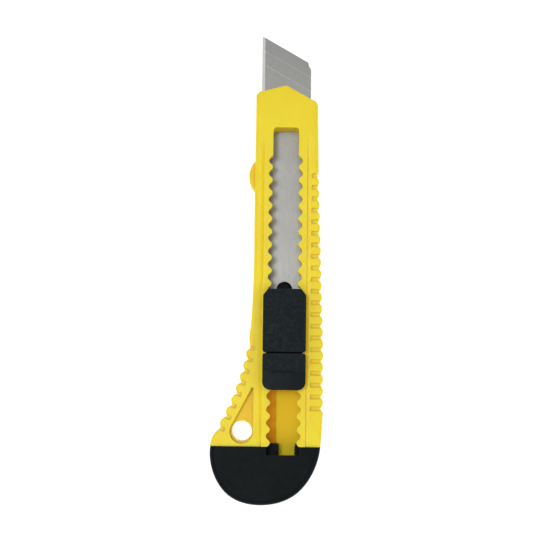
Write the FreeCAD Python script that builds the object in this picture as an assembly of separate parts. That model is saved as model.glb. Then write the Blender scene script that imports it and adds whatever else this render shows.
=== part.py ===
import FreeCAD, Part
import math
import os

# Snap-off utility knife lying flat, blade partly out. Millimetres.
# X runs across the knife, Y along it towards the blade tip, Z up through the thumb slider's side.
# The origin is on the blade's centre line, halfway along the closed body, on the flat back face.

# Body
BODY_TOP = 12.4          # height of the raised track that the slider runs on
SIDE_DROP = 0.5          # how far the flanks lie below the track
TRACK_HALF = 7.7         # half width of the raised track
TRACK_END = 56.0         # where the track's step has faded into the head
TRACK_FADE = 8.0
DISH_DEPTH = 0.2         # the flanks dip this much further at the foot of the track
DISH_WIDTH = 1.2
JUNCTION_Y = -54.5       # where the yellow body meets the black cap
PEAK_Y = 75.1
EDGE_ROUND = 0.8         # rounding of the top rim round the ribs and the nose
LEFT_ROUND = 1.7         # of the smooth left edge
HEAD_ROUND = 1.5         # of the right edge of the head
BUTT_ROUND = 1.4         # where the rim meets the cap
BACK_ROUND = 0.8

# Channel, from the floor up: a groove along the left, the blade slot, the carrier's room, the toothed plate
GROOVE_FLOOR = 1.4
GROOVE_X = -2.45         # right edge of the groove
FLOOR_Z = 2.6
RECESS_HALF = 6.7
SLOT_HALF = 9.25
SLOT_Z = (3.9, 4.7)
ROOM_TOP = 9.0
ROOM_END_Y = 57.0
CAP_ROOM_Y = -45.0       # the channel is wider below here, for the cap's two arms

# Window and its two racks of notches
WINDOW_TOP = 59.5
WINDOW_HALF = 4.6
WINDOW_CORNER = 1.3
TOOTH_HALF = 4.7         # half gap between opposite teeth
NOTCH_HALF = 6.05        # half gap between opposite notches
PITCH = 4.676
NOTCHES = 22
FIRST_NOTCH = 47.35
NOTCH_ROUND = 1.4
FLANK_LEAN = math.radians(50.0)
WINDOW_FOOT = 5.95       # half width where the window meets the cap

# Grip ribs
RIB_PITCH = 4.157
RIGHT_RIBS = 21
RIGHT_FIRST = 42.0
RIGHT_DEPTH = 0.75
LEFT_RIBS = 8
LEFT_FIRST = -19.9
LEFT_PITCH = 4.02
LEFT_BULGE = 1.0
VALLEY_FLAT = 0.4        # half width of the flat at the bottom of a valley
POCKET_DEPTH = 1.0       # shallow slot in the top face behind each valley
POCKET_HALF = 0.85
POCKET_CORNER = 0.45
POCKET_INNER_X = 9.3     # the right pockets all end in line
LEFT_POCKET = 1.9

# Lanyard corner
HOLE = (-14.6, -49.2)
HOLE_R = 3.6
RECESS_DEPTH = 3.0       # three-cornered recess round the hole
RECESS_CENTRE = (-14.75, -49.4)
RECESS_R = 4.15
RECESS_TOP = (-11.6, -34.6)

# Blade
BLADE_WIDTH = 18.0
BLADE_THICK = 0.5
BLADE_LENGTH = 107.0     # tip to the far corner of the tail
BLADE_TIP_Y = 95.4
TIP_NICK = ((1.05, 0.0), (0.78, 1.4), (0.0, 2.65))    # in from the blunt edge, and down
BLADE_Z = 4.05
SCORE_PITCH = 5.2
SCORE_DEPTH = 0.1
SCORE_WIDTH = 0.22
SLANT = math.tan(math.radians(30.0))
BEVEL_WIDTH = 1.05
PIN_Y = 1.55
PIN_R = 2.7
PIN_CLEAR = 0.15
PIN_TOP = 5.9
PIN_DOME = 0.8
HALF_EDGE = 0.02         # half thickness left at the cutting edge

# Slider
SLIDER_HALF = 7.6
SLIDER_FRONT = 0.85
GROOVE_Y = (-21.9, -21.4)
GROOVE_CORNER = 0.8
CORNER_CUT = (1.8, 2.2)  # cut off each front corner, across and along
WEB_HALF = 6.4           # hinge web between pad and tail
WEB_THICK = 0.5
WEB_CLEAR = 0.04
SLIDER_CROWN = 0.35
STEP_DROP = 0.4
STEP_Y = -28.1
SLIDER_BACK = -34.7
SLIDER_Z = (12.7, 16.3)
PAD_LIFT = 0.75          # relief under the pad's front end, so that it can be pressed
TAIL_CORNER = 2.9

# Carrier
PLATE_HALF = 5.9         # plate under the blade's tail
PLATE_FRONT = 0.6        # of the plate past the pin
CORE_HALF = 6.5          # block behind the blade
CORE_FRONT = -6.4
STEM_HALF = 4.5          # part that stands up through the window
STEM_FRONT = -2.6
POST_FRONT = -24.4
GAP_FRONT = 9.0
CARRIER_BACK = -29.5
LUG_HALF = 1.2           # lug that holds the leaf spring
LUG_Y = (-23.6, -22.6)
PEG_HALF = 3.0           # peg on the carrier's post that the slider is pressed on
PEG_Y = (-28.4, -25.4)
PEG_HEIGHT = 1.4
PEG_CLEAR = 0.05

# Leaf spring
EAR_NOTCH = 14           # the notch, counted from the front, that the spring's ears sit in
EAR_REACH = 5.55
EAR_HALF = 0.8
LEAF_HALF = 4.2
LEAF_Y = (-24.3, -14.0)
LEAF_Z = 10.0
LEAF_THICK = 0.4
LEAF_RISE = 2.4          # how far the front end stands up towards the pad
LEAF_TIP_Y = (-5.0, -3.6)
LEAF_TIP_HALF = 3.0
LUG_CLEAR = 0.1

# End cap
CAP_WALL = 1.4
TONGUE_X = (-1.5, 4.25)
TONGUE_Z = (1.5, FLOOR_Z)
TONGUE_END = -63.0
TONGUE_CLEAR = 0.2
CAP_NOTCH_X = (-5.95, 5.65)
CAP_NOTCH_END = -57.45
CAP_ROUND = 2.0
CAP_END = -76.0          # just past the butt
CAP_INSET = 2.2
PLUG_TOP = 7.2
PRONG_END = -53.6        # the plug's two prongs, which show at the bottom of the window
PRONG_HALF = 6.5
PLUG_SLOT_END = -71.0
ARM_END = -46.0
ARM_X = (9.1, 7.1)       # outer and inner face of the two arms

RUN = 0.15               # running clearance
BEYOND = 5.0             # how far cutters reach past what they cut
FAR_X = 40.0             # outside the body


def vec(x, y, z=0.0):
    return FreeCAD.Vector(x, y, z)


def path(start, steps):
    """Closed wire in the XY plane. A step is a point, or (middle, end) for an arc through both."""
    edges = []
    here = start
    closes = isinstance(steps[-1][0], tuple) and steps[-1][1] == start
    for step in steps if closes else steps + [start]:
        if isinstance(step[0], tuple):
            middle, end = step
            edges.append(Part.Arc(vec(*here), vec(*middle), vec(*end)).toShape())
        else:
            end = step
            edges.append(Part.makeLine(vec(*here), vec(*end)))
        here = end
    return Part.Wire(edges)


def prism(wire, low, high):
    solid = Part.Face(wire).extrude(vec(0, 0, high - low))
    solid.translate(vec(0, 0, low))
    return solid


def block(x, y, z):
    return Part.makeBox(x[1] - x[0], y[1] - y[0], z[1] - z[0], vec(x[0], y[0], z[0]))


def profile_yz(points, x):
    """Solid with a YZ outline, between two X planes."""
    corners = [vec(x[0], y, z) for y, z in points]
    face = Part.Face(Part.makePolygon(corners + corners[:1]))
    return face.extrude(vec(x[1] - x[0], 0, 0))


def edges_where(shape, test):
    return [edge for edge in shape.Edges if test(edge.BoundBox)]


def right_crest(y):
    """How far the crests of the right ribs stand out."""
    return min(13.93, 13.73 - 0.0333 * (y + 14.0))


def right_valley(index):
    y = RIGHT_FIRST - RIB_PITCH * index
    return right_crest(y) - RIGHT_DEPTH, y


def left_valley(index):
    """Valleys of the left ribs, which swing out towards the wide butt."""
    down = LEFT_PITCH * index
    return -12.06 - 0.171 * down - 0.00667 * down ** 2, LEFT_FIRST - down


def left_normal(index):
    """Unit vector pointing out of the body at a left valley."""
    slope = 0.171 + 2 * 0.00667 * LEFT_PITCH * index
    size = math.hypot(1.0, slope)
    return -1.0 / size, slope / size


def right_side():
    """Right edge from the head down to the cap, rib by rib."""
    steps = [((11.0, 68.75), (11.4, 67.0)), (11.85, 43.5)]
    for index in range(RIGHT_RIBS):
        x, y = right_valley(index)
        if index:
            crest = y + RIB_PITCH / 2
            steps.append(((right_crest(crest), crest), (x, y + VALLEY_FLAT)))
        else:
            steps.append((x, y + VALLEY_FLAT))
        steps.append((x, y - VALLEY_FLAT))
    steps.append(((13.6, -41.9), (13.85, -43.6)))
    steps.append(((13.6, -49.0), (13.15, JUNCTION_Y)))
    return steps


def left_side():
    """Left edge from the cap up to the head."""
    steps = []
    for index in reversed(range(LEFT_RIBS)):
        x, y = left_valley(index)
        out_x, out_y = left_normal(index)
        along_x, along_y = out_y, -out_x
        low = (x - along_x * VALLEY_FLAT, y - along_y * VALLEY_FLAT)
        high = (x + along_x * VALLEY_FLAT, y + along_y * VALLEY_FLAT)
        if index == LEFT_RIBS - 1:
            steps.append(((-24.6, -50.8), low))
        else:
            middle = ((steps[-1][0] + low[0]) / 2 + LEFT_BULGE * out_x,
                      (steps[-1][1] + low[1]) / 2 + LEFT_BULGE * out_y)
            steps.append((middle, low))
        steps.append(high)
    steps.append(((-12.27, -17.4), (-11.85, -12.5)))
    steps.append(((-11.25, 0.0), (-11.1, 20.0)))
    steps.append((-10.95, 70.3))
    return steps


def body_outline():
    head = [((-10.68, 71.8), (-9.7, 72.65)), (-0.1, PEAK_Y), (9.4, 69.85)]
    corner, *right = right_side()
    return path((-25.6, JUNCTION_Y), left_side() + head + [corner] + right)


def bow(x, y, radius):
    """Arc with its top at (x, y), bulging out if the radius is positive: its start, and its step."""
    reach = abs(radius) * math.sin(FLANK_LEAN)
    back = radius * (1 - math.cos(FLANK_LEAN))
    return (x - back, y + reach), ((x, y), (x - back, y - reach))


def window():
    """Opening in the top plate: narrow at the front, notched down both sides, open at the cap."""
    rise = PITCH / 2 * math.sin(FLANK_LEAN) - (NOTCH_HALF - TOOTH_HALF) * math.cos(FLANK_LEAN)
    tooth_round = rise / (1 - math.cos(FLANK_LEAN)) - NOTCH_ROUND
    corner = WINDOW_CORNER
    bend = corner * (1 - math.sqrt(0.5))
    steps = [
        (WINDOW_HALF - corner, WINDOW_TOP),
        ((WINDOW_HALF - bend, WINDOW_TOP - bend), (WINDOW_HALF, WINDOW_TOP - corner)),
        (WINDOW_HALF, FIRST_NOTCH + 0.42 * PITCH),
    ]
    for index in range(NOTCHES):
        y = FIRST_NOTCH - PITCH * index
        steps += bow(NOTCH_HALF, y, NOTCH_ROUND)
        steps += bow(TOOTH_HALF, y - PITCH / 2, -tooth_round)
    foot = JUNCTION_Y - 0.2
    steps += [(WINDOW_FOOT, foot), (0.0, foot)]
    right = prism(path((0.0, WINDOW_TOP), steps), FLOOR_Z, BODY_TOP + 1)
    return right.fuse(right.mirror(vec(0, 0), vec(1, 0)))


def flank_cutter(side):
    """What is cut away beside the raised track: it dips at the track's foot and fades at the head."""
    above = BODY_TOP + BEYOND
    sections = []
    for y, depth in ((JUNCTION_Y - BEYOND, 1.0), (TRACK_END - TRACK_FADE, 1.0), (TRACK_END, 0.0)):
        flank = BODY_TOP - SIDE_DROP * depth
        foot = (TRACK_HALF, flank - DISH_DEPTH * depth)
        knee = (TRACK_HALF + DISH_WIDTH, flank)
        corners = [foot, knee, (FAR_X, flank), (FAR_X, above), (TRACK_HALF, above), foot]
        sections.append(Part.makePolygon([vec(side * x, y, z) for x, z in corners]))
    return Part.makeLoft(sections, True, True)


def rim_radius(point):
    """Rounding of the top rim at one of its corners."""
    if point.x < -10.0 and 15.0 < point.y < 71.0:
        return LEFT_ROUND
    if point.x > 11.0 and TRACK_END - TRACK_FADE <= point.y < 68.0:
        return HEAD_ROUND
    if point.y < JUNCTION_Y + 0.1:
        return BUTT_ROUND
    return EDGE_ROUND


def round_rim(body):
    """Rounds the top edges round the body's outside, but not the track's edges or the end at the cap."""
    lowest = BODY_TOP - SIDE_DROP - DISH_DEPTH
    inner = TRACK_HALF + DISH_WIDTH + 0.1
    rows = []
    for number, edge in enumerate(body.Edges, 1):
        box = edge.BoundBox
        along = -inner < box.XMin and box.XMax < inner and box.XLength < DISH_WIDTH + 0.1
        across = box.YLength < 0.01 and (box.XLength > 1.0 or box.XLength < 0.01)
        if box.ZMin > lowest - 0.1 and not along and not across:
            first, last = edge.Vertexes[0].Point, edge.Vertexes[-1].Point
            rows.append((number, rim_radius(first), rim_radius(last)))
    document = FreeCAD.newDocument("rounding")
    base = document.addObject("Part::Feature", "base")
    base.Shape = body
    rounded = document.addObject("Part::Fillet", "rounded")
    rounded.Base = base
    rounded.Edges = rows
    document.recompute()
    return rounded.Shape


def hole_recess():
    """Three-cornered recess round the lanyard hole, narrowing towards the slider."""
    low = BODY_TOP - SIDE_DROP - RECESS_DEPTH
    x, y = RECESS_CENTRE
    top_x, top_y = RECESS_TOP
    right = x + RECESS_R
    lean = math.atan2(top_y - y, top_x - x)
    turn = lean + math.acos(RECESS_R / math.hypot(top_x - x, top_y - y))
    touch = (x + RECESS_R * math.cos(turn), y + RECESS_R * math.sin(turn))
    outline = path((right, y), [
        ((x, y - RECESS_R), touch),
        RECESS_TOP,
        ((top_x + 0.6, top_y + 0.7), (right, top_y)),
    ])
    return prism(outline, low, BODY_TOP + 1)


def rib_pockets():
    """Shallow slots in the top face, one behind each rib valley."""
    low = BODY_TOP - SIDE_DROP - POCKET_DEPTH
    places = []
    for index in range(RIGHT_RIBS):
        x, y = right_valley(index)
        places.append((x, y, 180.0, x - POCKET_INNER_X))
    for index in range(LEFT_RIBS):
        x, y = left_valley(index)
        out_x, out_y = left_normal(index)
        places.append((x, y, math.degrees(math.atan2(-out_y, -out_x)), LEFT_POCKET))
    slots = []
    for x, y, turn, length in places:
        half = POCKET_HALF
        bend = POCKET_CORNER * (1 - math.sqrt(0.5))
        slot = prism(path((-2.0, -half), [
            (length - POCKET_CORNER, -half),
            ((length - bend, -half + bend), (length, -half + POCKET_CORNER)),
            (length, half - POCKET_CORNER),
            ((length - bend, half - bend), (length - POCKET_CORNER, half)),
            (-2.0, half),
        ]), low, BODY_TOP + 1)
        slot.rotate(vec(0, 0), vec(0, 0, 1), turn)
        slot.translate(vec(x, y))
        slots.append(slot)
    return slots


def finger_lobe():
    """Bump on the left edge, thinner than the body."""
    outline = path((-10.0, 48.2), [
        (-11.0, 47.8),
        ((-13.2, 42.3), (-11.0, 36.8)),
        (-10.0, 36.4),
    ])
    lobe = prism(outline, 2.6, 9.0)
    rims = edges_where(lobe, lambda box: box.XMin < -11.5 and box.ZMax - box.ZMin < 0.1)
    return lobe.makeFillet(0.9, rims)


def make_housing():
    body = prism(body_outline(), 0.0, BODY_TOP)
    body = round_rim(body.cut([flank_cutter(-1), flank_cutter(1)]))
    bottom = edges_where(body, lambda box: box.ZMax < 0.1 and box.YMax > JUNCTION_Y + 0.1)
    body = body.makeFillet(BACK_ROUND, bottom)
    body = body.fuse(finger_lobe())

    front = PEAK_Y + BEYOND
    back = JUNCTION_Y - BEYOND
    body = body.cut([
        window(),
        block((-RECESS_HALF, RECESS_HALF), (back, ROOM_END_Y), (FLOOR_Z, ROOM_TOP)),
        block((-RECESS_HALF, GROOVE_X), (back, ROOM_END_Y), (GROOVE_FLOOR, ROOM_TOP)),
        block((-SLOT_HALF, SLOT_HALF), (back, front), SLOT_Z),
        block((-SLOT_HALF, SLOT_HALF), (back, CAP_ROOM_Y), (SLOT_Z[0], ROOM_TOP)),
        Part.makeCylinder(HOLE_R, BODY_TOP + 2, vec(*HOLE, -1)),
        hole_recess(),
    ] + rib_pockets())
    tongue = block(TONGUE_X, (TONGUE_END, JUNCTION_Y + 1), TONGUE_Z)
    return body.fuse(tongue).removeSplitter()


def bevel_waste(high, edge):
    """What is ground off one side of the blade: high is the face, edge the height of the cutting edge."""
    left = -BLADE_WIDTH / 2
    above = 2 * high - edge
    inner = left + BEVEL_WIDTH
    outer = left - 1
    corners = [(outer, edge), (left, edge), (inner, high), (inner, above), (outer, above), (outer, edge)]
    start = BLADE_TIP_Y - 2 * BLADE_LENGTH
    face = Part.Face(Part.makePolygon([vec(x, start, z) for x, z in corners]))
    return face.extrude(vec(0, 3 * BLADE_LENGTH, 0))


def score_groove(index, high):
    """One of the slanting grooves that the blade snaps at."""
    half = BLADE_WIDTH / 2
    y = BLADE_TIP_Y - SCORE_PITCH * index
    low = high - SCORE_DEPTH
    start = vec(-half + BEVEL_WIDTH, y - BEVEL_WIDTH * SLANT, low)
    end = vec(half + 1, y - (BLADE_WIDTH + 1) * SLANT, low)
    across = vec(0, SCORE_WIDTH, 0)
    face = Part.Face(Part.makePolygon([start, end, end + across, start + across, start]))
    return face.extrude(vec(0, 0, 2 * SCORE_DEPTH))


def make_blade():
    """Snap-off blade: sharp edge on -X, slanted tip, score grooves and a hole near the tail."""
    half = BLADE_WIDTH / 2
    drop = BLADE_WIDTH * SLANT
    tail = BLADE_TIP_Y - BLADE_LENGTH
    corner = BLADE_TIP_Y - drop + TIP_NICK[0][0] * SLANT
    nick = [(half - inwards, corner - down) for inwards, down in TIP_NICK]
    outline = path((-half, tail + drop), [(-half, BLADE_TIP_Y)] + nick + [(half, tail)])
    low = BLADE_Z
    high = BLADE_Z + BLADE_THICK
    middle = (low + high) / 2
    blade = prism(outline, low, high)
    scores = int(BLADE_LENGTH / SCORE_PITCH) - 3
    waste = [bevel_waste(high, middle + HALF_EDGE), bevel_waste(low, middle - HALF_EDGE)]
    waste += [score_groove(index + 1, high) for index in range(scores)]
    waste.append(Part.makeCylinder(PIN_R + PIN_CLEAR, 2, vec(0, PIN_Y, low - 1)))
    return blade.cut(waste)


def make_blade_carrier():
    """Inner slide: a plate and pin under the blade's tail, a block behind it, a post for the slider."""
    floor = FLOOR_Z + RUN
    blade_top = BLADE_Z + BLADE_THICK
    tail = BLADE_TIP_Y - BLADE_LENGTH
    plate_y = (CORE_FRONT - 1, PIN_Y + PIN_R + PLATE_FRONT)
    plate = block((-PLATE_HALF, PLATE_HALF), plate_y, (floor, BLADE_Z - RUN))
    pin = Part.makeCylinder(PIN_R, PIN_TOP - floor, vec(0, PIN_Y, floor))
    pin = pin.makeFillet(PIN_DOME, edges_where(pin, lambda box: box.ZMin > PIN_TOP - 0.1))
    core = block((-CORE_HALF, CORE_HALF), (CARRIER_BACK, CORE_FRONT), (floor, ROOM_TOP - RUN))
    stem = block((-STEM_HALF, STEM_HALF), (CARRIER_BACK, STEM_FRONT), (blade_top + RUN, LEAF_Z))
    gap = block((-SLOT_HALF, SLOT_HALF), (tail - RUN, GAP_FRONT), (BLADE_Z - RUN, blade_top + RUN))
    post = block((-STEM_HALF, STEM_HALF), (CARRIER_BACK, POST_FRONT), (LEAF_Z, SLIDER_Z[0]))
    peg = block((-PEG_HALF, PEG_HALF), PEG_Y, (SLIDER_Z[0] - 1, SLIDER_Z[0] + PEG_HEIGHT))
    lug = block((-LUG_HALF, LUG_HALF), LUG_Y, (LEAF_Z - 1, LEAF_Z + LEAF_THICK))
    return plate.fuse([core, stem, post, peg, lug]).cut(gap).fuse(pin).removeSplitter()


def make_lock_spring():
    """Steel leaf over the carrier, with an ear each side in a notch and a raised front end."""
    ear_y = FIRST_NOTCH - PITCH * EAR_NOTCH
    high = LEAF_Z + LEAF_THICK
    flat = block((-LEAF_HALF, LEAF_HALF), LEAF_Y, (LEAF_Z, high))
    ears = block((-EAR_REACH, EAR_REACH), (ear_y - EAR_HALF, ear_y + EAR_HALF), (LEAF_Z, high))
    foot = LEAF_Y[1] - 0.2
    bend, tip = LEAF_TIP_Y
    top = high + LEAF_RISE
    profile = [(foot, LEAF_Z), (foot, high), (bend, top), (tip, top), (tip, top - LEAF_THICK),
               (bend + 0.1, top - LEAF_THICK)]
    rise = profile_yz(profile, (-LEAF_TIP_HALF, LEAF_TIP_HALF))
    side = LUG_HALF + LUG_CLEAR
    hole = block((-side, side), (LUG_Y[0] - LUG_CLEAR, LUG_Y[1] + LUG_CLEAR), (LEAF_Z - 1, high + 1))
    return flat.fuse([ears, rise]).cut(hole).removeSplitter()


def upright_edges(shape, y):
    """The two corner edges that stand up at one end of a slider part."""
    def stands_there(box):
        return box.ZLength > 1.5 and max(abs(box.YMax - y), abs(box.YMin - y)) < 0.01

    return edges_where(shape, stands_there)


def crowned(y, z, crown):
    """Block across the slider whose top is slightly domed from side to side."""
    half = SLIDER_HALF
    low, high = z
    start, end = y
    left = vec(-half, start, high - crown)
    right = vec(half, start, high - crown)
    outline = Part.Wire([
        Part.makeLine(left, vec(-half, start, low)),
        Part.makeLine(vec(-half, start, low), vec(half, start, low)),
        Part.makeLine(vec(half, start, low), right),
        Part.Arc(right, vec(0, start, high), left).toShape(),
    ])
    return Part.Face(outline).extrude(vec(0, end - start, 0))


def pad_corner(side):
    """What is cut off one front corner of the thumb pad."""
    inner = side * (SLIDER_HALF - CORNER_CUT[0])
    outer = side * (SLIDER_HALF + 1)
    edge = side * SLIDER_HALF
    low = SLIDER_FRONT - CORNER_CUT[1]
    above = SLIDER_FRONT + 1
    outline = path((inner, above), [(outer, above), (outer, low), (edge, low), (inner, SLIDER_FRONT)])
    return prism(outline, SLIDER_Z[0] - 1, SLIDER_Z[1] + 1)


def make_thumb_pad():
    """Front of the slider, hinged on the tail by a thin web."""
    bottom = SLIDER_Z[0]
    front = SLIDER_FRONT + 1
    pad = crowned((GROOVE_Y[1], SLIDER_FRONT), SLIDER_Z, SLIDER_CROWN)
    wedge = [(GROOVE_Y[1], bottom), (front, bottom), (front, bottom + PAD_LIFT)]
    relief = profile_yz(wedge, (-SLIDER_HALF - 1, SLIDER_HALF + 1))
    pad = pad.cut([pad_corner(-1), pad_corner(1), relief])
    pad = pad.makeFillet(GROOVE_CORNER, upright_edges(pad, GROOVE_Y[1]))
    web_y = (GROOVE_Y[0] + WEB_CLEAR, GROOVE_Y[1] + WEB_THICK)
    web = block((-WEB_HALF, WEB_HALF), web_y, (bottom, bottom + WEB_THICK))
    return pad.fuse(web).removeSplitter()


def make_slider_tail():
    """Back of the slider: a raised band, a step and a lower end, with a socket for the carrier's peg."""
    bottom, top = SLIDER_Z
    band = crowned((STEP_Y, GROOVE_Y[0]), SLIDER_Z, SLIDER_CROWN)
    back = crowned((SLIDER_BACK, STEP_Y), (bottom, top - STEP_DROP), SLIDER_CROWN)
    tail = band.fuse(back)
    tail = tail.makeFillet(TAIL_CORNER, upright_edges(tail, SLIDER_BACK))
    tail = tail.makeFillet(GROOVE_CORNER, upright_edges(tail, GROOVE_Y[0]))
    reach = PEG_HALF + PEG_CLEAR
    socket = block((-reach, reach), (PEG_Y[0] - PEG_CLEAR, PEG_Y[1] + PEG_CLEAR),
                   (bottom - 1, bottom + PEG_HEIGHT + PEG_CLEAR))
    return tail.cut(socket)


def cap_outline(inset):
    """Rounded butt of the knife, drawn inwards by the inset."""
    left = -25.6 + inset
    right = 13.15 - inset
    points = [
        (left, JUNCTION_Y),
        (-24.3 + inset, -64.2 + 0.4 * inset),
        (-18.9 + 0.7 * inset, -71.7 + 0.7 * inset),
        (-7.3, -74.9 + inset),
        (4.3 - 0.7 * inset, -71.3 + 0.7 * inset),
        (10.4 - inset, -63.9 + 0.4 * inset),
        (right, JUNCTION_Y),
    ]
    curve = Part.BSplineCurve()
    curve.interpolate([vec(x, y) for x, y in points])
    return Part.Wire([curve.toShape(), Part.makeLine(vec(right, JUNCTION_Y), vec(left, JUNCTION_Y))])


def make_end_cap():
    """Rounded cap, hollow, with a plug for the blade channel and a slot for the body's tongue."""
    shell = prism(cap_outline(0.0), 0.0, BODY_TOP)
    top = edges_where(shell, lambda box: box.ZMin > BODY_TOP - 0.1 and box.YLength > 1)
    shell = shell.makeFillet(CAP_ROUND, top)
    bottom = edges_where(shell, lambda box: box.ZMax < 0.1 and box.YLength > 1)
    shell = shell.makeFillet(BACK_ROUND, bottom)
    hollow = prism(cap_outline(CAP_INSET), CAP_WALL, BODY_TOP - CAP_WALL)
    notch = block(CAP_NOTCH_X, (CAP_NOTCH_END, JUNCTION_Y + 1), (CAP_WALL, BODY_TOP + 1))
    shell = shell.cut([hollow, notch])

    inside = prism(cap_outline(CAP_INSET / 2), CAP_WALL - 0.2, BODY_TOP - CAP_WALL + 0.2)
    outer, inner = ARM_X
    plug = block((-outer, outer), (CAP_END, JUNCTION_Y), (0.0, PLUG_TOP)).common(inside)
    prongs = block((-PRONG_HALF, PRONG_HALF), (JUNCTION_Y - 1, PRONG_END), (FLOOR_Z + 0.1, PLUG_TOP))
    slot_x = (TONGUE_X[0] - TONGUE_CLEAR, TONGUE_X[1] + TONGUE_CLEAR)
    slot = block(slot_x, (PLUG_SLOT_END, PRONG_END + 1), (CAP_WALL, BODY_TOP))
    pieces = [plug.fuse(prongs).cut(slot)]
    for x in ((-outer, -inner), (inner, outer)):
        pieces.append(block(x, (CAP_END, JUNCTION_Y), (0.0, BODY_TOP)).common(inside))
        pieces.append(block(x, (JUNCTION_Y - 1, ARM_END), (SLOT_Z[1] + RUN, ROOM_TOP - RUN)))
    return shell.fuse(pieces)


NODES = {
    "housing": make_housing,
    "blade": make_blade,
    "blade_carrier": make_blade_carrier,
    "lock_spring": make_lock_spring,
    "thumb_pad": make_thumb_pad,
    "slider_tail": make_slider_tail,
    "end_cap": make_end_cap,
}


def main():
    os.makedirs("parts", exist_ok=True)
    for name, make in NODES.items():
        shape = make()
        print(name, shape.isValid(), len(shape.Solids), round(shape.Volume, 1))
        shape.exportStep(f"parts/{name}.step")


main()
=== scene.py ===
import math

import bpy
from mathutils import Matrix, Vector, noise


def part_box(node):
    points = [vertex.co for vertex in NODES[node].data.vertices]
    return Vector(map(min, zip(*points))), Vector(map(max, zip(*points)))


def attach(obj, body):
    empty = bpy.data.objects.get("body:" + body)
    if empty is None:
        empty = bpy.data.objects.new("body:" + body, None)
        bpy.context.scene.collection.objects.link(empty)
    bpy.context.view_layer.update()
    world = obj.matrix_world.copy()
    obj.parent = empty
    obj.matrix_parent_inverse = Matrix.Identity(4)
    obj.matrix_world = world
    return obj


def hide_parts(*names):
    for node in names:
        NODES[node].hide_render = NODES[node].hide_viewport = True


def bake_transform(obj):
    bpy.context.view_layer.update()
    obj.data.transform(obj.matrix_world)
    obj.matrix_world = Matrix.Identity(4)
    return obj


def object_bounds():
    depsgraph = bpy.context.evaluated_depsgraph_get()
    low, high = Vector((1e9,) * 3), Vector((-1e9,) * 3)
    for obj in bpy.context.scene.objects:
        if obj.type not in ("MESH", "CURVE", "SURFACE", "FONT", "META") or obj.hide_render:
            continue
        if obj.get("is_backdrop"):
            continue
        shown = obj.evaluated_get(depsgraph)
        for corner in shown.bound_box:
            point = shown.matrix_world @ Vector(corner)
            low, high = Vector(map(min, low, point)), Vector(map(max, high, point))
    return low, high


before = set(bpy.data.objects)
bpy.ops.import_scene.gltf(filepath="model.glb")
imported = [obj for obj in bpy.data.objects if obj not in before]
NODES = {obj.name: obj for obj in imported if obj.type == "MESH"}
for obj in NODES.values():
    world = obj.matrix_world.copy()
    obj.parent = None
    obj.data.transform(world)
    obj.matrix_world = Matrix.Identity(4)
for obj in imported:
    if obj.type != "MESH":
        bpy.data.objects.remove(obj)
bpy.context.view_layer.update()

MM = 0.001

# Blade: its score lines with a painted highlight, of which about every fifth stands out, its ground bevel
# with a painted highlight, and painted shade towards its tip
SCORE_PITCH = 5.2 * MM
SCORE_WIDTH = 0.34 * MM
BEVEL_WIDTH = 1.05 * MM
SLANT = math.tan(math.radians(30.0))
SCORE_SHIFT = 0.521
SCORE_GLINT_PERIOD = 5.2       # in score lines
SCORE_GLINT_CENTRE = 1.7       # the line that stands out most, counted from the tip
TIP_RANGE = (6.0 * MM, 26.0 * MM)

# Leather grain on the thumb pad and on the band behind it, which ends at the slider's step
GRAIN_CELL = 1.0 * MM
GRAIN_DEPTH = 0.24 * MM
GRAIN_STRETCH = 1.7
GRAIN_TURN = math.radians(35.0)
SKIN_VOXEL = 0.13 * MM
TOP_REACH = 1.4 * MM
GRAIN_MARGIN = 0.7 * MM
STEP_Y = -28.1 * MM
CREASE_DEPTH = 0.3 * MM
CREASE_HALF = 4.6 * MM
CREASE_WIDTH = 0.22 * MM

# Heights over which the yellow takes painted light and shade: painted warm bounce light in the channel,
# painted shade in its groove and in the hole's recess
INSIDE_HALF = 9.4 * MM
INSIDE_Z = (7.0 * MM, 12.2 * MM)
GROOVE_Z = (1.7 * MM, 2.4 * MM)
RECESS_Z = (9.7 * MM, 11.0 * MM)

FLOOR_REACH = 3.0       # half the floor's side, in metres

# Along the left track's foot the painted crease shade is nearly left out
LEFT_TRACK_X = -8.4 * MM
TRACK_REACH = 1.1 * MM


def linear(r, g, b):
    """Scene-linear colour from 0-255 display values."""
    def one(v):
        v = v / 255.0
        return v / 12.92 if v <= 0.04045 else ((v + 0.055) / 1.055) ** 2.4
    return one(r), one(g), one(b), 1.0


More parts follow.
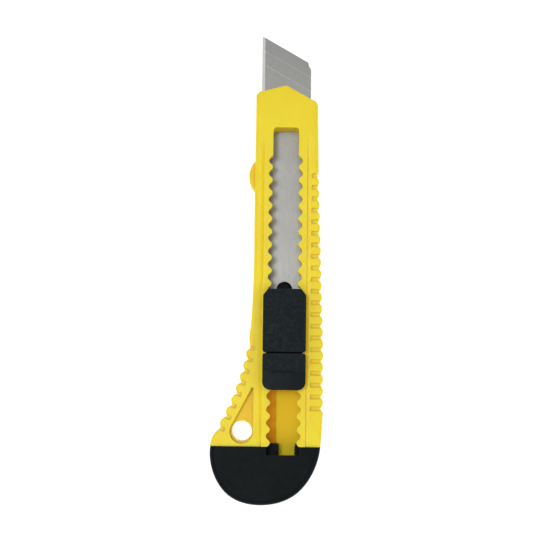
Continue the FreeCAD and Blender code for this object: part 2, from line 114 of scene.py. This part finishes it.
class Nodes:
    """Short calls for building a material's node tree."""

    def __init__(self, name):
        self.material = bpy.data.materials.new(name)
        self.material.use_nodes = True
        self.tree = self.material.node_tree
        self.shader = self.tree.nodes["Principled BSDF"]
        self.point = self.add("ShaderNodeTexCoord").outputs["Object"]

    def add(self, kind, **values):
        node = self.tree.nodes.new(kind)
        for key, value in values.items():
            setattr(node, key, value)
        return node

    def link(self, source, target):
        self.tree.links.new(source, target)

    def scaled(self, scale):
        node = self.add("ShaderNodeMapping")
        node.inputs["Scale"].default_value = scale
        self.link(self.point, node.inputs["Vector"])
        return node.outputs["Vector"]

    def noise(self, scale, detail=3.0, rough=0.55, vector=None):
        node = self.add("ShaderNodeTexNoise")
        node.inputs["Scale"].default_value = scale
        node.inputs["Detail"].default_value = detail
        node.inputs["Roughness"].default_value = rough
        self.link(vector or self.point, node.inputs["Vector"])
        return node.outputs["Fac"]

    def ramp(self, value, low, high, out_low, out_high):
        node = self.add("ShaderNodeMapRange")
        for key, number in (("From Min", low), ("From Max", high), ("To Min", out_low), ("To Max", out_high)):
            node.inputs[key].default_value = number
        self.link(value, node.inputs["Value"])
        return node.outputs["Result"]

    def math(self, operation, a, b=0.0):
        node = self.add("ShaderNodeMath", operation=operation)
        for socket, value in zip(node.inputs, (a, b)):
            if isinstance(value, (int, float)):
                socket.default_value = value
            else:
                self.link(value, socket)
        return node.outputs["Value"]

    def blend(self, factor, a, b):
        node = self.add("ShaderNodeMix", data_type="RGBA")
        self.link(factor, node.inputs["Factor"])
        # A colour mix has its colour sockets after the ones for numbers and vectors.
        for socket, value in ((node.inputs[6], a), (node.inputs[7], b)):
            if isinstance(value, tuple):
                socket.default_value = value
            else:
                self.link(value, socket)
        return node.outputs[2]

    def bump(self, height, distance, strength=1.0, normal=None):
        node = self.add("ShaderNodeBump")
        node.inputs["Strength"].default_value = strength
        node.inputs["Distance"].default_value = distance
        self.link(height, node.inputs["Height"])
        if normal:
            self.link(normal, node.inputs["Normal"])
        return node.outputs["Normal"]

    def edges(self, radius):
        """1 at edges and corners, 0 on flat faces."""
        rounded = self.add("ShaderNodeBevel", samples=4)
        rounded.inputs["Radius"].default_value = radius
        flat = self.add("ShaderNodeNewGeometry")
        dot = self.add("ShaderNodeVectorMath", operation="DOT_PRODUCT")
        self.link(rounded.outputs["Normal"], dot.inputs[0])
        self.link(flat.outputs["Normal"], dot.inputs[1])
        return self.ramp(dot.outputs["Value"], 0.995, 0.9, 0.0, 1.0)

    def creases(self, reach):
        """1 along the foot of the piece's own steps and in its narrow corners."""
        node = self.add("ShaderNodeAmbientOcclusion", samples=6, only_local=True)
        node.inputs["Distance"].default_value = reach
        return self.ramp(node.outputs["AO"], 0.9, 0.5, 0.0, 1.0)

    def scratches(self, turn, scale, length, amount):
        """Sparse hairlines: stretched noise with only its peaks kept."""
        node = self.add("ShaderNodeMapping")
        node.inputs["Rotation"].default_value = (0.0, 0.0, turn)
        node.inputs["Scale"].default_value = (scale, scale / length, scale)
        self.link(self.point, node.inputs["Vector"])
        lines = self.noise(1.0, 2.0, 0.5, node.outputs["Vector"])
        return self.ramp(lines, 1.0 - amount, 1.0 - amount + 0.04, 0.0, 1.0)

    def finish(self, **sockets):
        for name, value in sockets.items():
            socket = self.shader.inputs[name.replace("_", " ")]
            if isinstance(value, (int, float, tuple)):
                socket.default_value = value
            else:
                self.link(value, socket)
        return self.material


def yellow_plastic():
    """Satin moulded plastic with flow marks and scuffs, and painted light and shade: painted warm bounce
    light inside the channel, painted shade in its groove, in the hole's recess and in its creases, and a
    painted highlight on its edges.
    """
    n = Nodes("yellow_plastic")
    cloud = n.ramp(n.noise(90.0, 3.0), 0.35, 0.65, 0.0, 1.0)
    colour = n.blend(cloud, linear(241, 220, 24), linear(237, 214, 20))
    place = n.add("ShaderNodeSeparateXYZ")
    n.link(n.point, place.inputs["Vector"])
    facing = n.add("ShaderNodeSeparateXYZ")
    n.link(n.add("ShaderNodeNewGeometry").outputs["Normal"], facing.inputs["Vector"])
    # Painted shade: the upward-facing floor of the hole's recess is tinted darker amber
    recess_shade = n.ramp(place.outputs["Z"], RECESS_Z[1], RECESS_Z[0], 0.0, 0.8)
    recess_shade = n.math("MULTIPLY", recess_shade, n.ramp(facing.outputs["Z"], 0.5, 0.9, 0.0, 1.0))
    recess_shade = n.math("MULTIPLY", recess_shade, n.math("LESS_THAN", place.outputs["X"], -INSIDE_HALF))
    colour = n.blend(recess_shade, colour, linear(240, 202, 4))
    # Painted bounce light: inside the channel the yellow is tinted warmer and a little brighter
    deep = n.ramp(place.outputs["Z"], INSIDE_Z[1], INSIDE_Z[0], 0.0, 1.0)
    deep = n.math("MULTIPLY", deep, n.math("LESS_THAN", n.math("ABSOLUTE", place.outputs["X"]), INSIDE_HALF))
    colour = n.blend(n.math("MULTIPLY", deep, 0.85), colour, linear(255, 220, 30))
    # Painted shade: the floor of the channel's groove is tinted deep orange
    groove_shade = n.ramp(place.outputs["Z"], GROOVE_Z[1], GROOVE_Z[0], 0.0, 0.5)
    colour = n.blend(n.math("MULTIPLY", deep, groove_shade), colour, linear(252, 176, 2))
    # Painted shade in the creases and narrow corners, nearly left out along the left track's foot
    off_track = n.math("ABSOLUTE", n.math("SUBTRACT", place.outputs["X"], LEFT_TRACK_X))
    strength = n.ramp(off_track, 0.7 * TRACK_REACH, TRACK_REACH, 0.05, 0.4)
    colour = n.blend(n.math("MULTIPLY", n.creases(1.0 * MM), strength), colour, linear(214, 160, 6))
    # Painted highlight: edges and corners are painted paler
    highlight_share = n.edges(0.35 * MM)
    colour = n.blend(n.math("MULTIPLY", highlight_share, 0.35), colour, linear(244, 222, 70))
    scuffs = n.math("MAXIMUM", n.scratches(0.5, 1400.0, 14.0, 0.28), n.scratches(-0.9, 1100.0, 12.0, 0.27))
    rough = n.ramp(n.noise(700.0, 4.0), 0.3, 0.7, 0.36, 0.47)
    rough = n.math("ADD", rough, n.math("MULTIPLY", scuffs, 0.15))
    normal = n.bump(n.noise(3600.0, 2.0), 0.000014)
    normal = n.bump(n.noise(230.0, 2.0), 0.00009, 0.6, normal)
    rough = n.math("ADD", rough, n.math("MULTIPLY", deep, 0.3))
    return n.finish(Base_Color=colour, Roughness=rough, Normal=normal, Specular_IOR_Level=0.4,
                    Subsurface_Weight=0.6, Subsurface_Radius=(1.0, 0.4, 0.06), Subsurface_Scale=2.0 * MM)


def black_plastic(name, dark, pale, rough_low, rough_high, grain, gloss, back=0.0):
    """Satin black plastic, faintly blue-green, with a painted highlight on its edges. Behind the slider's
    step it darkens by the share back.
    """
    n = Nodes(name)
    cloud = n.ramp(n.noise(120.0, 3.0), 0.35, 0.65, 0.0, 1.0)
    colour = n.blend(cloud, dark, pale)
    place = n.add("ShaderNodeSeparateXYZ")
    n.link(n.point, place.inputs["Vector"])
    behind = n.ramp(place.outputs["Y"], STEP_Y, STEP_Y - 0.6 * MM, 0.0, back)
    colour = n.blend(behind, colour, linear(1, 1, 2))
    # Painted highlight: edges and corners are painted lighter grey
    highlight_share = n.edges(0.3 * MM)
    colour = n.blend(n.math("MULTIPLY", highlight_share, 0.25), colour, linear(44, 50, 54))
    scuffs = n.scratches(0.3, 1300.0, 14.0, 0.28)
    rough = n.ramp(n.noise(500.0, 4.0), 0.3, 0.7, rough_low, rough_high)
    rough = n.math("ADD", rough, n.math("MULTIPLY", scuffs, 0.12))
    normal = n.bump(n.noise(grain, 3.0), 0.00002)
    return n.finish(Base_Color=colour, Roughness=rough, Normal=normal,
                    Specular_IOR_Level=gloss, Specular_Tint=(0.78, 0.95, 1.0, 1.0))


def blade_steel():
    """Satin rolled strip with a ground bevel along its edge, painted highlights on the bevel and on the score
    lines, and painted shade towards the tip.
    """
    n = Nodes("blade_steel")
    low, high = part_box("blade")
    place = n.add("ShaderNodeSeparateXYZ")
    n.link(n.point, place.inputs["Vector"])
    across = n.math("SUBTRACT", place.outputs["X"], low[0])
    bevel = n.math("LESS_THAN", across, BEVEL_WIDTH)

    down = n.math("SUBTRACT", high[1], place.outputs["Y"])
    steps = n.math("DIVIDE", n.math("SUBTRACT", down, n.math("MULTIPLY", across, SLANT)), SCORE_PITCH)
    gap = n.math("ABSOLUTE", n.math("SUBTRACT", n.math("FRACT", n.math("ADD", steps, SCORE_SHIFT)), 0.5))
    score = n.ramp(gap, 0.3 * SCORE_WIDTH / SCORE_PITCH, 0.6 * SCORE_WIDTH / SCORE_PITCH, 1.0, 0.0)
    line = n.math("FLOOR", n.math("ADD", steps, SCORE_SHIFT))
    # The painted highlight on the score lines rises and falls in strength from line to line along the blade
    wave = n.math("COSINE", n.math("MULTIPLY", n.math("SUBTRACT", line, SCORE_GLINT_CENTRE), math.tau / SCORE_GLINT_PERIOD))
    highlight_share = n.math("POWER", n.ramp(wave, -1.0, 1.0, 0.0, 1.0), 3.0)
    score = n.math("MULTIPLY", score, n.math("SUBTRACT", 1.0, bevel))
    score = n.math("MULTIPLY", score, n.ramp(highlight_share, 0.0, 1.0, 0.05, 0.75))

    along = n.noise(1.0, 4.0, 0.65, n.scaled((5200.0, 150.0, 150.0)))
    crosswise = n.noise(1.0, 4.0, 0.65, n.scaled((200.0, 6500.0, 200.0)))
    cloud = n.ramp(n.noise(110.0, 3.0), 0.3, 0.7, 0.0, 1.0)
    colour = n.blend(cloud, linear(153, 153, 151), linear(161, 161, 159))
    # Painted shade: the blade is painted darker towards its tip
    tip = n.ramp(down, TIP_RANGE[1], TIP_RANGE[0], 0.0, 0.6)
    colour = n.blend(tip, colour, linear(138, 139, 137))
    colour = n.blend(n.ramp(along, 0.3, 0.7, 0.0, 0.3), colour, linear(138, 138, 136))
    # Painted highlight along the ground bevel
    colour = n.blend(bevel, colour, linear(208, 211, 208))
    # Painted highlight along the score lines
    colour = n.blend(score, colour, linear(200, 199, 193))
    spots = n.ramp(n.noise(900.0, 2.0), 0.70, 0.74, 0.0, 0.25)
    colour = n.blend(spots, colour, linear(108, 105, 98))
    rough = n.ramp(along, 0.3, 0.7, 0.4, 0.5)
    rough = n.math("ADD", rough, n.math("MULTIPLY", bevel, 0.2))
    rough = n.math("ADD", rough, n.math("MULTIPLY", score, 0.2))
    grind = n.blend(bevel, along, crosswise)
    normal = n.bump(grind, 0.000006)
    return n.finish(Base_Color=colour, Metallic=1.0, Roughness=rough, Normal=normal)


def spring_steel():
    n = Nodes("spring_steel")
    along = n.noise(1.0, 4.0, 0.6, n.scaled((300.0, 4000.0, 300.0)))
    colour = n.blend(n.ramp(along, 0.3, 0.7, 0.0, 1.0), linear(168, 168, 166), linear(190, 190, 188))
    rough = n.ramp(n.noise(600.0, 3.0), 0.3, 0.7, 0.28, 0.4)
    return n.finish(Base_Color=colour, Metallic=1.0, Roughness=rough, Normal=n.bump(along, 0.000005))


def soften(name, width, segments=3):
    """Round a piece's sharp edges and leave its mesh as it is."""
    piece = NODES[name]
    bevel = piece.modifiers.new("soft_edges", "BEVEL")
    bevel.width = width
    bevel.segments = segments
    bevel.limit_method = "ANGLE"
    bevel.angle_limit = math.radians(40.0)
    bevel.use_clamp_overlap = True
    bevel.harden_normals = True
    return piece


def paint(piece, material):
    piece.data.materials.clear()
    piece.data.materials.append(material)


def leather(x, y):
    """Height of the grain, 0 in the creases and 1 on the pebbles between them."""
    turned_x = x * math.cos(GRAIN_TURN) + y * math.sin(GRAIN_TURN)
    turned_y = y * math.cos(GRAIN_TURN) - x * math.sin(GRAIN_TURN)
    spot = Vector((turned_x / GRAIN_STRETCH, turned_y, 0.0)) / GRAIN_CELL
    near, second = noise.voronoi(spot)[0][:2]
    crease = min(1.0, (second - near) / 0.45)
    return crease * crease * (3.0 - 2.0 * crease)


def grained(name, body, edge, back_y, material):
    """Fine copy of a slider piece, with rounded edges and leather grain on its top in front of back_y."""
    source = soften(name, edge, 4)
    fine = source.modifiers.new("fine", "REMESH")
    fine.mode = "VOXEL"
    fine.voxel_size = SKIN_VOXEL
    graph = bpy.context.evaluated_depsgraph_get()
    mesh = bpy.data.meshes.new_from_object(source.evaluated_get(graph))
    mesh.name = name + "_grained"
    source.modifiers.clear()
    low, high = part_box(name)
    # The normals are all read before any vertex moves, because one move has them all worked out again.
    top = [vertex.co for vertex in mesh.vertices
           if vertex.normal.z > 0.8 and vertex.co.z > high[2] - TOP_REACH]
    for place in top:
        inside = min(place.x - low[0], high[0] - place.x, high[1] - place.y, place.y - max(low[1], back_y))
        fade = min(1.0, max(0.0, inside / GRAIN_MARGIN))
        place.z -= GRAIN_DEPTH * fade * (1.0 - leather(place.x, place.y))
        crease = math.exp(-((place.y - STEP_Y) / CREASE_WIDTH) ** 2)
        place.z -= CREASE_DEPTH * crease * min(1.0, max(0.0, (CREASE_HALF - abs(place.x)) / GRAIN_MARGIN))
    for face in mesh.polygons:
        face.use_smooth = True
    piece = bpy.data.objects.new(name + "_grained", mesh)
    bpy.context.scene.collection.objects.link(piece)
    paint(piece, material)
    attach(piece, body)
    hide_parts(name)
    return piece


def flexing_leaf(material):
    """Copy of the leaf spring, with its place baked into its mesh; on the knife its raised front end gives
    way under the thumb pad.
    """
    source = NODES["lock_spring"]
    mesh = source.data.copy()
    mesh.transform(source.matrix_world)
    piece = bpy.data.objects.new("lock_spring_leaf", mesh)
    bpy.context.scene.collection.objects.link(piece)
    paint(piece, material)
    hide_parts("lock_spring")
    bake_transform(piece)
    return piece


def light(name, place, size, power):
    """Round area light aimed at the middle of the knife."""
    data = bpy.data.lights.new(name, "AREA")
    data.shape = "DISK"
    data.size = size
    data.energy = power
    lamp = bpy.data.objects.new(name, data)
    bpy.context.scene.collection.objects.link(lamp)
    lamp.location = place
    lamp.rotation_euler = (-place).to_track_quat("-Z", "Y").to_euler()


def towards(azimuth, off_vertical, distance):
    """A place above the object: azimuth is counter-clockwise from +X."""
    turn = math.radians(azimuth)
    lean = math.radians(off_vertical)
    flat = distance * math.sin(lean)
    return Vector((flat * math.cos(turn), flat * math.sin(turn), distance * math.cos(lean)))


def studio():
    """Lamps, a pale sky that is dimmer straight overhead, and a lit floor."""
    light("key", towards(174.0, 14.5, 0.9), 0.22, 2.1)
    light("overhead", towards(97.0, 11.0, 0.9), 0.3, 0.28)
    light("fill", towards(-20.0, 50.0, 1.0), 0.7, 1.1)
    light("butt_light", towards(-95.0, 35.0, 0.9), 0.4, 0.9)
    world = bpy.data.worlds.new("studio")
    bpy.context.scene.world = world
    world.use_nodes = True
    tree = world.node_tree
    direction = tree.nodes.new("ShaderNodeSeparateXYZ")
    tree.links.new(tree.nodes.new("ShaderNodeTexCoord").outputs["Generated"], direction.inputs["Vector"])
    overhead = tree.nodes.new("ShaderNodeMapRange")
    for key, value in (("From Min", 0.8), ("From Max", 1.0), ("To Min", 0.56), ("To Max", 0.42)):
        overhead.inputs[key].default_value = value
    tree.links.new(direction.outputs["Z"], overhead.inputs["Value"])
    background = tree.nodes["Background"]
    background.inputs["Color"].default_value = (1.0, 1.0, 1.0, 1.0)
    tree.links.new(overhead.outputs["Result"], background.inputs["Strength"])

    mesh = bpy.data.meshes.new("floor")
    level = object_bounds()[0][2]
    corners = [(FLOOR_REACH * x, FLOOR_REACH * y, level) for x, y in ((-1, -1), (1, -1), (1, 1), (-1, 1))]
    mesh.from_pydata(corners, [], [(0, 1, 2, 3)])
    floor = bpy.data.objects.new("floor", mesh)
    bpy.context.scene.collection.objects.link(floor)
    n = Nodes("lit_paper")
    colour = n.blend(n.noise(30.0), linear(128, 128, 128), linear(132, 132, 132))
    mesh.materials.append(n.finish(Base_Color=colour, Roughness=0.9, Specular_IOR_Level=0.0,
                                   Emission_Color=(1.0, 1.0, 1.0, 1.0), Emission_Strength=0.92))
    floor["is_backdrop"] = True


def camera():
    """Looks down on the knife, leaning six degrees towards its butt end."""
    distance = 0.432
    tilt = math.radians(6.0)
    aim = Vector((-0.006, 0.009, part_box("housing")[1][2]))
    data = bpy.data.cameras.new("camera")
    data.sensor_width = 36.0
    data.lens = 82.0
    seat = bpy.data.objects.new("camera", data)
    bpy.context.scene.collection.objects.link(seat)
    seat.location = aim + Vector((0.0, -distance * math.sin(tilt), distance * math.cos(tilt)))
    seat.rotation_euler = (tilt, 0.0, math.radians(0.7))
    bpy.context.scene.camera = seat


cap_black = black_plastic("cap_black", linear(5, 7, 8), linear(8, 11, 12), 0.46, 0.58, 3800.0, 0.12)
pad_black = black_plastic("pad_black", linear(10, 14, 17), linear(14, 19, 22), 0.44, 0.56, 5200.0, 0.2, 1.0)
paint(soften("housing", 0.12 * MM), yellow_plastic())
paint(soften("end_cap", 0.25 * MM), cap_black)
paint(NODES["blade_carrier"], cap_black)
paint(NODES["blade"], blade_steel())
flexing_leaf(spring_steel())
grained("thumb_pad", "pad", 0.7 * MM, -1.0, pad_black)
grained("slider_tail", "slider", 0.7 * MM, STEP_Y, pad_black)
studio()
camera()
bpy.context.scene.view_settings.view_transform = "Standard"
